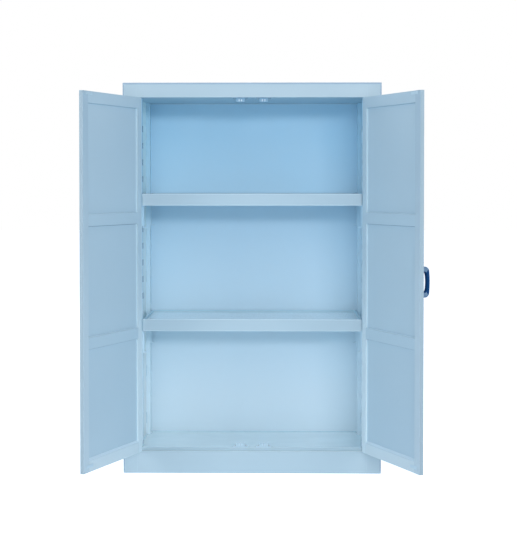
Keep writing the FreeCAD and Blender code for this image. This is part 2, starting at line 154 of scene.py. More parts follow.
def background(strength, colour):
    """A shader that makes the room shine."""
    shader = air.nodes.new("ShaderNodeBackground")
    shader.inputs["Strength"].default_value = strength
    shader.inputs["Color"].default_value = (*colour, 1)
    return shader


def for_camera(tree, seen, given):
    """A shader that shows one thing to the camera and gives another to the rest of the scene."""
    ray = tree.nodes.new("ShaderNodeLightPath")
    choose = tree.nodes.new("ShaderNodeMixShader")
    tree.links.new(ray.outputs["Is Camera Ray"], choose.inputs["Fac"])
    tree.links.new(given.outputs[0], choose.inputs[1])
    tree.links.new(seen.outputs[0], choose.inputs[2])
    return choose


walls = for_camera(air, seen=background(1, (1, 1, 1)), given=background(ROOM_LIGHT, ROOM_WHITE))
sky = air.nodes.new("ShaderNodeOutputWorld")
air.links.new(walls.outputs["Shader"], sky.inputs["Surface"])

# %% [markdown]
# Every edit below works on one selected piece, as it would by hand. These helpers keep that tidy:
# they select pieces, open edit mode and close it again, pick faces or edges by a test, and then
# paint, bevel, close, cut, settle, start or copy a piece.

# %% Selecting and editing


def only(*pieces):
    """Selects these pieces and nothing else."""
    bpy.ops.object.select_all(action="DESELECT")
    for piece in pieces:
        piece.select_set(True)
    bpy.context.view_layer.objects.active = pieces[0]


@contextmanager
def editing(piece, parts="FACE"):
    """Opens edit mode on one piece with nothing selected, and closes it again."""
    only(piece)
    bpy.ops.object.mode_set(mode="EDIT")
    bpy.ops.mesh.select_mode(type=parts)
    bpy.ops.mesh.select_all(action="DESELECT")
    yield bmesh.from_edit_mesh(piece.data)
    bpy.ops.object.mode_set(mode="OBJECT")


def pick(elements, test):
    """Selects the faces or edges that pass a test, and counts them."""
    chosen = [element for element in elements if test(element)]
    for element in chosen:
        element.select_set(True)
    return len(chosen)


def middle(edge):
    """The middle of an edge."""
    return (edge.verts[0].co + edge.verts[1].co) / 2


def paint_faces(piece, material_index, test):
    """Gives the faces that pass a test one of the piece's materials, and counts them."""
    with editing(piece) as mesh:
        count = pick(mesh.faces, test)
        piece.active_material_index = material_index
        bpy.ops.object.material_slot_assign()
    return count


def apply_modifier(piece, kind, **settings):
    """Adds a modifier, gives it its settings and applies it."""
    only(piece)
    modifier = piece.modifiers.new(kind.lower(), kind)
    for name, value in settings.items():
        setattr(modifier, name, value)
    bpy.ops.object.modifier_apply(modifier=modifier.name)


def bevel(piece, test, width, segments, **settings):
    """Bevels the edges of a piece that pass a test, and counts them."""
    with editing(piece, "EDGE") as mesh:
        count = pick(mesh.edges, test)
        bpy.ops.mesh.bevel(offset=width, segments=segments, affect="EDGES", **settings)
    return count


def close_up(piece):
    """Closes the open ends of a piece, with all its faces outward."""
    with editing(piece, "EDGE"):
        bpy.ops.mesh.select_all(action="SELECT")
        bpy.ops.mesh.fill_holes(sides=0)
        bpy.ops.mesh.normals_make_consistent(inside=False)


def cut(piece, tool):
    """Cuts a tool's shape out of a piece, and takes the tool away."""
    apply_modifier(piece, "BOOLEAN", operation="DIFFERENCE", solver="EXACT", object=tool)
    bpy.data.objects.remove(tool)


def settle(piece, name):
    """Bakes a piece's place and turn into its mesh, so that its object sits at the origin."""
    only(piece)
    bpy.ops.object.transform_apply(location=True, rotation=True, scale=True)
    piece.name = name
    return piece


def started(add, name, scale=(1, 1, 1), **settings):
    """A primitive that was added with nothing else selected, as the start of a piece."""
    bpy.ops.object.select_all(action="DESELECT")
    add(**settings)
    piece = bpy.context.active_object
    piece.scale = scale
    return settle(piece, name)


def twin(piece, name):
    """A copy of a piece with its own mesh."""
    copy = piece.copy()
    copy.data = piece.data.copy()
    copy.name = name
    scene.collection.objects.link(copy)
    return copy


# %% [markdown]
# The floor is plain and pale. It gives back some light of its own, as a lit studio sweep does. The
# camera sees it a little brighter than it lights the cabinet, as it does the room, so that the
# cabinet stands on white with only a faint shadow at its foot.

# %% Floor
FLOOR_SIZE = 60
FLOOR_GREY = 0.7
GIVEN_GLOW = 0.44
SEEN_GLOW = 0.56


def new_material(name):
    """A material that is made of nodes."""
    material = bpy.data.materials.new(name)
    material.use_nodes = True
    return material


def shader_of(material):
    """The main shader of a material."""
    return material.node_tree.nodes["Principled BSDF"]


floor = started(bpy.ops.mesh.primitive_plane_add, "studio_floor", size=FLOOR_SIZE)
sweep = new_material("studio_white")
paint = shader_of(sweep)
paint.inputs["Base Color"].default_value = (FLOOR_GREY, FLOOR_GREY, FLOOR_GREY, 1)
paint.inputs["Roughness"].default_value = 0.9
paint.inputs["Emission Color"].default_value = (*ROOM_WHITE, 1)
paint.inputs["Emission Strength"].default_value = GIVEN_GLOW
nodes, link = sweep.node_tree.nodes, sweep.node_tree.links.new
seen_glow = nodes.new("ShaderNodeEmission")
seen_glow.inputs["Strength"].default_value = SEEN_GLOW
both = nodes.new("ShaderNodeAddShader")
link(paint.outputs["BSDF"], both.inputs[0])
link(seen_glow.outputs["Emission"], both.inputs[1])
face = for_camera(sweep.node_tree, seen=both, given=paint)
link(face.outputs["Shader"], nodes["Material Output"].inputs["Surface"])
floor.data.materials.append(sweep)
print(floor.name, FLOOR_SIZE, "m wide")

# %% [markdown]
# The sheet is extruded plastic: one colour right through, with a soft satin face. Close up it isn't
# flat. The colour clouds a little where the pigment mixed unevenly, the roller left a fine orange
# peel, and handling left dull patches. Each of these is a node group, built once and given its own
# values in each material, and so are the scratches of a brushed metal and a colour that fades with
# height, which paints light and shade by height. Image textures would repeat over a sheet this
# size, noise doesn't.

# %% Shader groups
WHITE, BLACK = (1, 1, 1, 1), (0, 0, 0, 1)
FLECK_SHARE = 0.25
CLOUD_RANGE = (0.35, 0.9)
PATCH_RANGE = (0.3, 0.7)
BRUSHED_ALONG_Z = (1, 1, 14)


def new_group(name, inputs, output, output_kind):
    """An empty shader node group with named sockets, and its two end nodes."""
    group = bpy.data.node_groups.new(name, "ShaderNodeTree")
    for label, value in inputs.items():
        kind = "NodeSocketColor" if isinstance(value, tuple) else "NodeSocketFloat"
        socket = group.interface.new_socket(label, in_out="INPUT", socket_type=kind)
        socket.default_value = value
    group.interface.new_socket(output, in_out="OUTPUT", socket_type="NodeSocket" + output_kind)
    return group, group.nodes.new("NodeGroupInput"), group.nodes.new("NodeGroupOutput")


def object_noise(group, scale_from, detail, stretch=(1, 1, 1)):
    """Noise over Object coordinates, at a scale that an input of the group gives."""
    where = group.nodes.new("ShaderNodeTexCoord")
    mapping = group.nodes.new("ShaderNodeMapping")
    mapping.inputs["Scale"].default_value = stretch
    noise = group.nodes.new("ShaderNodeTexNoise")
    noise.inputs["Detail"].default_value = detail
    group.links.new(where.outputs["Object"], mapping.inputs["Vector"])
    group.links.new(mapping.outputs["Vector"], noise.inputs["Vector"])
    group.links.new(scale_from, noise.inputs["Scale"])
    return noise


def spread_over(group, limits):
    """A map range that stretches what lies between two limits."""
    spread = group.nodes.new("ShaderNodeMapRange")
    spread.inputs["From Min"].default_value, spread.inputs["From Max"].default_value = limits
    return spread


def colour_mix(group):
    """A node that mixes two colours."""
    mix = group.nodes.new("ShaderNodeMix")
    mix.data_type = "RGBA"
    return mix


def clouding_group():
    """Pigment clouds: mixes two near colours by broad noise and fine flecks."""
    inputs = {"Light": WHITE, "Deep": BLACK, "Cloud scale": 2.0, "Fleck scale": 400.0}
    group, given, result = new_group("pigment_clouds", inputs, "Color", "Color")
    link = group.links.new
    clouds = object_noise(group, given.outputs["Cloud scale"], 3)
    flecks = object_noise(group, given.outputs["Fleck scale"], 1)
    blend = group.nodes.new("ShaderNodeMath")
    blend.operation = "MULTIPLY_ADD"
    blend.inputs[1].default_value = FLECK_SHARE
    soften = spread_over(group, CLOUD_RANGE)
    mix = colour_mix(group)
    link(flecks.outputs["Fac"], blend.inputs[0])
    link(clouds.outputs["Fac"], blend.inputs[2])
    link(blend.outputs["Value"], soften.inputs["Value"])
    link(soften.outputs["Result"], mix.inputs["Factor"])
    link(given.outputs["Light"], mix.inputs["A"])
    link(given.outputs["Deep"], mix.inputs["B"])
    link(mix.outputs["Result"], result.inputs["Color"])
    return group


def handling_group():
    """Dull and polished patches: a roughness that drifts between two values."""
    inputs = {"Polished": 0.4, "Dull": 0.6, "Scale": 6.0}
    group, given, result = new_group("handling_marks", inputs, "Roughness", "Float")
    link = group.links.new
    patches = object_noise(group, given.outputs["Scale"], 4)
    spread = spread_over(group, PATCH_RANGE)
    link(patches.outputs["Fac"], spread.inputs["Value"])
    link(given.outputs["Polished"], spread.inputs["To Min"])
    link(given.outputs["Dull"], spread.inputs["To Max"])
    link(spread.outputs["Result"], result.inputs["Roughness"])
    return group


def orange_peel_group():
    """Roller texture: broad shallow waves under a fine grain, as a bent normal."""
    grain = {"Grain scale": 900.0, "Grain depth": 0.00003}
    waves = {"Wave scale": 14.0, "Wave depth": 0.0006}
    group, given, result = new_group("orange_peel", grain | waves, "Normal", "Vector")
    link = group.links.new
    bumps = []
    for size, depth, detail in (("Wave scale", "Wave depth", 0), ("Grain scale", "Grain depth", 2)):
        noise = object_noise(group, given.outputs[size], detail)
        bump = group.nodes.new("ShaderNodeBump")
        link(noise.outputs["Fac"], bump.inputs["Height"])
        link(given.outputs[depth], bump.inputs["Distance"])
        bumps.append(bump)
    link(bumps[0].outputs["Normal"], bumps[1].inputs["Normal"])
    link(bumps[1].outputs["Normal"], result.inputs["Normal"])
    return group


def brushing_group():
    """Fine scratches along one axis, as a bent normal."""
    inputs = {"Scale": 300.0, "Depth": 0.00002}
    group, given, result = new_group("brushing", inputs, "Normal", "Vector")
    link = group.links.new
    scratches = object_noise(group, given.outputs["Scale"], 2, stretch=BRUSHED_ALONG_Z)
    bump = group.nodes.new("ShaderNodeBump")
    link(scratches.outputs["Fac"], bump.inputs["Height"])
    link(given.outputs["Depth"], bump.inputs["Distance"])
    link(bump.outputs["Normal"], result.inputs["Normal"])
    return group


def fade_group():
    """Painted light and shade by height: a colour at the foot that goes over into the given colour
    at the head.
    """
    inputs = {"Color": WHITE, "Foot color": WHITE, "Foot height": 0.0, "Head height": 1.0}
    group, given, result = new_group("height_fade", inputs, "Color", "Color")
    link = group.links.new
    where = group.nodes.new("ShaderNodeTexCoord")
    split = group.nodes.new("ShaderNodeSeparateXYZ")
    ramp = group.nodes.new("ShaderNodeMapRange")
    mix = colour_mix(group)
    link(where.outputs["Object"], split.inputs["Vector"])
    link(split.outputs["Z"], ramp.inputs["Value"])
    link(given.outputs["Foot height"], ramp.inputs["From Min"])
    link(given.outputs["Head height"], ramp.inputs["From Max"])
    link(ramp.outputs["Result"], mix.inputs["Factor"])
    link(given.outputs["Foot color"], mix.inputs["A"])
    link(given.outputs["Color"], mix.inputs["B"])
    link(mix.outputs["Result"], result.inputs["Color"])
    return group


pigment_clouds = clouding_group()
height_fade = fade_group()
handling_marks = handling_group()
orange_peel = orange_peel_group()
brushing = brushing_group()
print("shader groups:", sorted(group.name for group in bpy.data.node_groups))

# %% [markdown]
# One function mixes every plastic from three of the groups, and another every metal, which is
# brushed instead of rolled. The sheet, the machined parts and the moulded parts then differ only in
# their colours, their gloss and the depth of their grain. A third function lets a finish fade, to
# paint light or shade by height.

# %% How a finish is mixed
PLASTIC_IOR = 1.49


def place_group(material, socket, group, **values):
    """Feeds a socket of a material's shader from a shader group with its own values."""
    node = material.node_tree.nodes.new("ShaderNodeGroup")
    node.node_tree = group
    for label, value in values.items():
        node.inputs[label.replace("_", " ")].default_value = value
    material.node_tree.links.new(node.outputs[0], shader_of(material).inputs[socket])
    return node


def place_colours(material, light, deep, cloud):
    """Gives a material its two near colours, in clouds of a certain fineness."""
    colours = {"Light": (*light, 1), "Deep": (*deep, 1)}
    place_group(material, "Base Color", pigment_clouds, Cloud_scale=cloud, **colours)


def let_fade(material, foot_colour, foot, head):
    """Lets a finish go over into another colour from one height down to another, as painted light
    or shade.
    """
    plain = shader_of(material).inputs["Base Color"].links[0].from_socket
    values = {"Foot_color": (*foot_colour, 1), "Foot_height": foot, "Head_height": head}
    fade = place_group(material, "Base Color", height_fade, **values)
    material.node_tree.links.new(plain, fade.inputs["Color"])


def plastic(name, light, deep, polished, dull, wave=0.0006, cloud=2.0, grain=0.00003, fade=None):
    """A plastic with clouded colour, uneven gloss, a rolled or moulded face, and maybe a fade."""
    material = new_material(name)
    place_colours(material, light, deep, cloud)
    place_group(material, "Roughness", handling_marks, Polished=polished, Dull=dull)
    place_group(material, "Normal", orange_peel, Grain_depth=grain, Wave_depth=wave)
    shader_of(material).inputs["IOR"].default_value = PLASTIC_IOR
    if fade:
        let_fade(material, *fade)
    return material


def metal(name, light, deep, polished, dull, metallic, cloud=30.0, patch=60.0):
    """A brushed metal with a faint tint that drifts over it."""
    material = new_material(name)
    place_colours(material, light, deep, cloud)
    place_group(material, "Roughness", handling_marks, Polished=polished, Dull=dull, Scale=patch)
    place_group(material, "Normal", brushing)
    shader_of(material).inputs["Metallic"].default_value = metallic
    return material


# %% [markdown]
# Most pieces take the finish of their slot. The lining, the uprights and the catches are painted
# paler towards the floor, as painted light from the floor, since a plain colour would stay too dark
# there. Higher up the catches stay darker, as painted shade under the top rail.

# %% The finish of each slot
FRONT_LIGHT, FRONT_DEEP = (0.475, 0.635, 0.703), (0.455, 0.62, 0.694)
DOOR_LIGHT, DOOR_DEEP = (0.507, 0.685, 0.773), (0.488, 0.67, 0.767)
DOOR_SHEET = (DOOR_LIGHT, DOOR_DEEP, 0.42, 0.56)
# The pale colour at the foot is painted light from the floor.
PALE_FOOT = (0.74, 0.91, 0.988)
WALL_FADE = (PALE_FOOT, 0.25, 1.45)
CATCH_FADE = (0.5, 1.0)
MOULDED = (0.0001, 20.0)

# Two near colours, polished and dull gloss, and where they differ, depth of waves, size of clouds
SLOT_PLASTICS = {
    "cabinet_sheet": (FRONT_LIGHT, FRONT_DEEP, 0.42, 0.56),
    "lining_sheet": ((0.56, 0.83, 0.945), (0.545, 0.815, 0.935), 0.4, 0.55),
    "door_sheet": DOOR_SHEET,
    "shelf_sheet": ((0.442, 0.61, 0.687), (0.422, 0.595, 0.678), 0.42, 0.58),
    "racking": ((0.43, 0.7, 0.85), (0.415, 0.685, 0.842), 0.45, 0.6, 0.0002),
    "hinge_plastic": (FRONT_LIGHT, FRONT_DEEP, 0.4, 0.5, 0.0001),
    "handle": ((0.003, 0.055, 0.18), (0.001, 0.048, 0.158), 0.16, 0.28, *MOULDED),
    "handle_cap": ((0.06, 0.19, 0.378), (0.05, 0.15, 0.321), 0.25, 0.4, 0.0, 40.0),
    "catch_case": ((0.22, 0.4, 0.54), (0.19, 0.37, 0.51), 0.35, 0.5, *MOULDED),
}
# The same, and how metallic they are
SLOT_METALS = {
    "magnet": ((0.26, 0.42, 0.54), (0.22, 0.37, 0.49), 0.5, 0.7, 0.1),
    "steel_plate": ((0.62, 0.8, 0.88), (0.56, 0.74, 0.83), 0.4, 0.5, 0.3),
    "steel_fixing": ((0.62, 0.63, 0.605), (0.5, 0.51, 0.501), 0.2, 0.35, 1.0),
}
finishes = {slot: plastic(slot, *mix) for slot, mix in SLOT_PLASTICS.items()}
finishes |= {slot: metal(slot, *mix) for slot, mix in SLOT_METALS.items()}
# Painted light from the floor on the lining and uprights, and painted shade on the upper catches
# and magnets.
for slot in ("lining_sheet", "racking"):
    let_fade(finishes[slot], *WALL_FADE)
let_fade(finishes["catch_case"], (0.47, 0.645, 0.735), *CATCH_FADE)
let_fade(finishes["magnet"], (0.48, 0.64, 0.72), *CATCH_FADE)
shader_of(finishes["handle"]).inputs["Specular IOR Level"].default_value = 0.1
print("slots with a finish:", sorted(finishes))

# %% [markdown]
# Some sheets differ from their slot. The decks and the floor are wiped so smooth that they mirror
# the wall behind them, and their pale colour is painted light. The back wall's deeper blue and the
# darker undersides are painted shade, the left liner and the lower shelf's edges are paler with
# painted light, and the strips and stiles of the doors fade along them, as painted light and shade.

# %% Sheets with a finish of their own
# These fades paint light towards the floor.
LINER_FADE = ((0.9, 0.985, 0.996), 0.25, 1.45)
STRIP_FADE = ((0.635, 0.79, 0.845), 0.13, 0.17)
STILE_FADE = ((0.553, 0.712, 0.788), 0.7, 1.5)
HINGE_SIDE_FADE = ((0.665, 0.835, 0.895), 0.5, 0.95)
WIPED = {"wave": 0.0004, "grain": 0.00001}

# Painted shade: the back wall is a deeper blue than the lining, and paler at the foot with painted
# light from the floor.
back_sheet = plastic(
    "back_sheet", (0.462, 0.772, 0.955), (0.447, 0.757, 0.946), 0.4, 0.55, fade=WALL_FADE
)
# Painted light: the left liner is a paler copy of the lining, paler still at the foot.
liner_left_sheet = plastic(
    "liner_left_sheet", (0.74, 0.96, 0.992), (0.72, 0.95, 0.99), 0.4, 0.55, fade=LINER_FADE
)
# The decks' and floor's pale colour is painted light, on faces that the lamps only graze; the coat
# is their own gloss.
tread_sheet = plastic(
    "tread_sheet", (0.8, 0.955, 0.997), (0.77, 0.945, 0.995), 0.14, 0.24, **WIPED
)
for label, value in {"Coat Weight": 1.0, "Coat Roughness": 0.08, "Coat IOR": 1.6}.items():
    shader_of(tread_sheet).inputs[label].default_value = value
# Painted light on the lower shelf's edges and ribs, a paler copy, and painted shade on the ceiling
# and the upper shelf's underside, edges and ribs, a darker one.
under_shelf = plastic("under_shelf", (0.51, 0.805, 0.918), (0.49, 0.79, 0.912), 0.42, 0.58)
ceiling_sheet = plastic("ceiling_sheet", (0.384, 0.567, 0.669), (0.366, 0.551, 0.661), 0.42, 0.58)
# The drip strips and the shelves' cut faces are pale with painted light from the floor.
drip_sheet = plastic("drip_sheet", PALE_FOOT, (0.7, 0.88, 0.97), 0.42, 0.56)
# Painted light at the foot of the door rails and hinge stiles. The meeting stiles are a darker
# copy, painted shade, paler at the foot with painted light.
strip_sheet = plastic("strip_sheet", *DOOR_SHEET, fade=STRIP_FADE)
stile_sheet = plastic(
    "stile_sheet", (0.444, 0.614, 0.707), (0.428, 0.598, 0.7), 0.42, 0.56, fade=STILE_FADE
)
hinge_side_sheet = plastic("hinge_side_sheet", *DOOR_SHEET, fade=HINGE_SIDE_FADE)
own_finish = {
    "back_panel": back_sheet,
    "liner_left": liner_left_sheet,
    "ceiling_panel": ceiling_sheet,
    "floor_pan": tread_sheet,
    "sill_bar": finishes["cabinet_sheet"],
    "shelf_upper_deck": tread_sheet,
    "shelf_lower_deck": tread_sheet,
}
for side in SIGN:
    own_finish["door_rails_" + side] = strip_sheet
    own_finish["door_meeting_stile_" + side] = stile_sheet
    own_finish["door_hinge_stile_" + side] = hinge_side_sheet
# Painted shade on the upper shelf's edges and ribs, painted light on the lower shelf's.
for shelf, finish in (("shelf_upper", ceiling_sheet), ("shelf_lower", under_shelf)):
    for node in ("_back_edge", "_ribs", "_end_edges"):
        own_finish[shelf + node] = finish
print(len(own_finish), "nodes with a finish of their own")

# %% [markdown]
# What a tool has touched differs from the rolled face: a saw leaves it rough and grey, a scraper
# leaves it pale, and the rod of a weld has its own colour. Some cut faces and door beads are paler,
# painted light, and others darker, painted shade. The handle's rim and ends are paler with painted
# highlights.

# %% Cuts, welds and worn rims
SCRAPED = (0.0002, 9.0)
WELDED = (0.0001, 12.0)
HIGHLIGHT_TEXTURE = (0.0001, 40.0)
SAWN = (0.0001, 14.0, 0.00012)
# Painted light, paler still at the foot of the pale cut faces.
LIT_CUT_FADE = ((0.8, 0.95, 0.985), 0.3, 0.9)
# The collars' painted slot shade stops above the lower shelf.
COLLAR_FADE = ((0.64, 0.83, 0.93), 0.69, 0.73)

sawn_edge = plastic("sawn_edge", (0.375, 0.525, 0.643), (0.345, 0.49, 0.605), 0.6, 0.75, *SAWN)
scraped_edge = plastic(
    "scraped_edge", (0.53, 0.7, 0.784), FRONT_LIGHT, 0.5, 0.65, *SCRAPED, grain=0.00006
)
# A paler cut face, painted light, on the floor pan, the bottom rail, the door rails and hinge
# stiles.
planed_edge = plastic(
    "planed_edge", (0.5, 0.66, 0.73), (0.48, 0.64, 0.71), 0.5, 0.65, *SCRAPED, fade=LIT_CUT_FADE
)
# A darker cut face, painted shade, on the door skins and meeting stiles, whose edges face the lamp.
door_edge = plastic("door_edge", (0.395, 0.535, 0.6), (0.375, 0.515, 0.582), 0.5, 0.65, *SCRAPED)
weld_plastic = plastic("weld_plastic", (0.56, 0.78, 0.869), DOOR_DEEP, 0.3, 0.42, *WELDED)
# Painted shade on the beads over the door panels, lighter on the top row, and painted light on
# those under them.
top_weld = plastic("top_weld", (0.36, 0.54, 0.652), (0.33, 0.51, 0.624), 0.3, 0.42, *WELDED)
dusty_weld = plastic("dusty_weld", (0.24, 0.39, 0.49), (0.21, 0.36, 0.46), 0.4, 0.52, *WELDED)
pale_weld = plastic("pale_weld", (0.7, 0.88, 0.98), (0.66, 0.85, 0.97), 0.3, 0.42, *WELDED)
# Painted shade: these collars stand for the dark inside the slots.
slot_collar = plastic(
    "slot_collar", (0.06, 0.18, 0.34), (0.05, 0.15, 0.29), 0.4, 0.55, *MOULDED, fade=COLLAR_FADE
)
# Painted highlights on the handle's outer rim and on its flat sides near the ends.
handle_rim = plastic("handle_rim", (0.05, 0.19, 0.42), (0.03, 0.14, 0.33), 0.2, 0.35, *MOULDED)
handle_worn = plastic("handle_worn", (0.2, 0.33, 0.46), (0.08, 0.17, 0.3), 0.25, 0.4, *HIGHLIGHT_TEXTURE)
print(len(bpy.data.materials), "materials in all")

# %% [markdown]
# A cut sheet is never razor sharp: the welder scrapes each edge, which leaves a narrow, paler and
# duller band. A copy of each solid gets that band from a bevel with a second material. Where the
# saw went through, the edge face itself is rough and greyer, so faces that are no wider than the
# sheet is thick get a third. On the shelves, the floor and the doors that third is another one:
# paler, as painted light, on most of them, and darker, as painted shade, on the door skins and the
# meeting stiles, whose edges face the lamp. The solid's own mesh is loose triangles, so the copy is
# merged and its flat faces are joined first. The broad faces are shaded flat at the end: a smooth
# one takes a little tilt from the rim of each bore, which would draw a pale line right across the
# panel.

# %% Ease the sheets and the machined parts
SHEET_THICKNESS = 8 * MM
SHEET_EASE = 0.6 * MM
SMALL_EASE = 0.35 * MM
TOUCHING = 0.00001
LEVEL, SMOOTH, SHARP = radians(0.5), radians(20), radians(40)
# Most of these cut faces are painted light; those of the door skins and meeting stiles painted
# shade.
CUT_FINISH = {
    "floor_pan": planed_edge,
    "bottom_rail": planed_edge,
    "door_rails": planed_edge,
    "door_hinge_stile": planed_edge,
    "base_panel": finishes["cabinet_sheet"],
    "door_skin": door_edge,
    "door_meeting_stile": door_edge,
    "shelf_": drip_sheet,
}


def cut_finish(node):
    """The finish of a node's cut faces."""
    named = (finish for start, finish in CUT_FINISH.items() if node.startswith(start))
    return next(named, sawn_edge)


def is_sawn(face):
    """Whether a face is the narrow edge of a sheet."""
    longest = max(edge.calc_length() for edge in face.edges)
    return face.calc_area() / longest < SHEET_THICKNESS * 1.05


def eased(node, width, edge_finish):
    """A copy of a node with scraped edges. It stands for the node and rides on the same body."""
    only(frame["nodes"][node])
    bpy.ops.object.duplicate()
    piece = bpy.context.active_object
    piece.parent = None
    piece.matrix_world = Matrix.Identity(4)
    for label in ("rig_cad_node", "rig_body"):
        del piece[label]
    piece.name = node + "_eased"
    with editing(piece):
        bpy.ops.mesh.select_all(action="SELECT")
        bpy.ops.mesh.remove_doubles(threshold=TOUCHING)
        bpy.ops.mesh.dissolve_limited(angle_limit=LEVEL)
    piece.data.materials.clear()
    piece.data.materials.append(own_finish.get(node, finishes[slot_of[node]]))
    if edge_finish:
        piece.data.materials.append(scraped_edge)
        piece.data.materials.append(cut_finish(node))
        paint_faces(piece, 2, is_sawn)
    apply_modifier(
        piece,
        "BEVEL",
        width=width,
        segments=2,
        limit_method="ANGLE",
        angle_limit=SHARP,
        material=1 if edge_finish else 0,
    )
    only(piece)
    bpy.ops.object.shade_smooth_by_angle(angle=SMOOTH)
    with editing(piece) as mesh:
        pick(mesh.faces, lambda face: not is_sawn(face))
        bpy.ops.mesh.faces_shade_flat()
    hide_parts(node)
    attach(piece, body_of[node])


INSIDE_WALLS = {"wall_ribs_right", "wall_ribs_left", "floor_bearers", "ceiling_bearers"}
NOT_EASED = INSIDE_WALLS | {"handle_bolts", "handle", "hinge_pins"}
SMALL = SLOT_METALS.keys() | {"catch_case", "hinge_plastic", "racking", "handle_cap"}
for node in sorted(frame["nodes"].keys() - NOT_EASED):
    is_small = slot_of[node] in SMALL
    eased(node, SMALL_EASE if is_small else SHEET_EASE, edge_finish=not is_small)
for node in sorted(NOT_EASED):
    frame["nodes"][node].data.materials.clear()
    frame["nodes"][node].data.materials.append(finishes[slot_of[node]])
print(len(frame["nodes"]) - len(NOT_EASED), "nodes eased")

# %% [markdown]
# A few sheets show two finishes. The outer faces of the back wall and the doors are like the rest
# of the outside. The tops of the sill and the catches get the decks' pale finish as painted light,
# and the upper shelf's underside the ceiling's darker finish as painted shade.

# %% Faces with another finish


def repaint(node, test, finish):
    """Gives the faces of an eased piece that pass a test another finish."""
    piece = bpy.data.objects[node + "_eased"]
    piece.data.materials.append(finish)
    count = paint_faces(piece, len(piece.data.materials) - 1, test)
    print(node, "has", count, "faces in", finish.name)


def looks_up(face):
    """Whether a face is on top of a piece."""
    return face.normal.z > 0.5


def looks_outward(face):
    """Whether a face is on the outer side of an open door."""
    return abs(face.normal.x) > 0.85 and face.normal.y > 0.2


repaint("back_panel", lambda face: face.normal.y > 0.5, finishes["cabinet_sheet"])
for side in SIGN:
    repaint("door_skin_" + side, looks_outward, finishes["cabinet_sheet"])
# Painted light on the tops of the sill and the catches, painted shade under the upper deck.
repaint("sill_bar", looks_up, tread_sheet)
repaint("shelf_upper_deck", lambda face: face.normal.z < -0.5, ceiling_sheet)
repaint("catch_cases", looks_up, tread_sheet)

# %% [markdown]
# Every seam of the cabinet is welded with a rod of the same plastic and hot air. The rod melts in
# small steps, so the bead is a row of ripples, a little glossier than the sheet. It could be a
# round bar with bump mapping, but a bar has no ripples along its outline. Here one ripple is
# modelled, and the Array modifier repeats it. Its few faces matter, since there are thousands.

# %% One ripple of a weld bead
BEAD_RADIUS = 2.2 * MM
RIPPLE = 5 * MM
SWELL = 1.16

tube = {"vertices": 10, "radius": BEAD_RADIUS, "depth": RIPPLE, "end_fill_type": "NOTHING"}
place = (0, 0, RIPPLE / 2)
ripple = started(bpy.ops.mesh.primitive_cylinder_add, "ripple", location=place, **tube)
with editing(ripple, "EDGE") as mesh:
    pick(mesh.edges, lambda edge: abs(edge.verts[0].co.z - edge.verts[1].co.z) > RIPPLE / 2)
    bpy.ops.mesh.subdivide(number_cuts=1)
with editing(ripple, "EDGE") as mesh:
    ring = pick(
        mesh.edges,
        lambda edge: all(abs(vert.co.z - RIPPLE / 2) < RIPPLE / 9 for vert in edge.verts),
    )
    bpy.ops.transform.resize(value=(SWELL, SWELL, 1), center_override=place)
print("one ripple has", len(ripple.data.polygons), "faces and a ring of", ring)

# %% [markdown]
# A bead is that ripple repeated from one point to another, closed at both ends. All the beads of
# one body are joined into one piece, which rides on it. On a door they are laid with the door shut,
# where its seams are straight and level, and then swung open about the hinge.

# %% Laying beads
HINGE_X = 484 * MM
HINGE_Y = -236.5 * MM
DOOR_SWING = {"right": 114, "left": 112}


def facing(way):
    """The turn that brings the Z axis to a direction."""
    return Vector(way).to_track_quat("Z", "Y").to_matrix().to_4x4()


def bead(start, end):
    """A weld bead from one point to another."""
    run = Vector(end) - Vector(start)
    steps = max(2, round(run.length / RIPPLE))
    piece = twin(ripple, "bead")
    apply_modifier(
        piece,
        "ARRAY",
        count=steps,
        use_relative_offset=False,
        use_constant_offset=True,
        constant_offset_displace=(0, 0, RIPPLE),
        use_merge_vertices=True,
        merge_threshold=TOUCHING,
    )
    close_up(piece)
    stretch = Matrix.Diagonal((1, 1, run.length / (steps * RIPPLE), 1))
    piece.matrix_world = Matrix.Translation(start) @ facing(run) @ stretch
    return settle(piece, "bead")


def swing(piece, side):
    """Opens a piece that was made on a shut door, about the door's hinge axis."""
    hinge = Vector((SIGN[side] * HINGE_X, HINGE_Y, 0))
    turn = Matrix.Rotation(SIGN[side] * radians(DOOR_SWING[side]), 4, "Z")
    piece.matrix_world = Matrix.Translation(hinge) @ turn @ Matrix.Translation(-hinge)
    settle(piece, piece.name)


def joined(pieces, name, body, finish, smooth=60):
    """Joins pieces into one, with its body, and a finish unless they bring their own."""
    only(*pieces)
    if len(pieces) > 1:
        bpy.ops.object.join()
    piece = bpy.context.active_object
    piece.name = name
    if finish:
        piece.data.materials.clear()
        piece.data.materials.append(finish)
    only(piece)
    bpy.ops.object.shade_smooth_by_angle(angle=radians(smooth))
    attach(piece, body)
    return piece


# %% [markdown]
# The lining is welded all round where the walls meet the back, the floor and the ceiling. Those
# corners are read from the boxes of the frame's own nodes, so the beads can't miss them.

# %% Beads of the cabinet
INNER_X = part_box("liner_right")[0][0]
INNER_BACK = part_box("back_panel")[0][1]
FLOOR_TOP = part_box("floor_pan")[1][2]
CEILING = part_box("ceiling_panel")[0][2]
SILL_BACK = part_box("sill_bar")[1][1]


def in_mm(lengths):
    """Lengths in millimetres, to be printed."""
    return [round(length / MM, 1) for length in lengths]


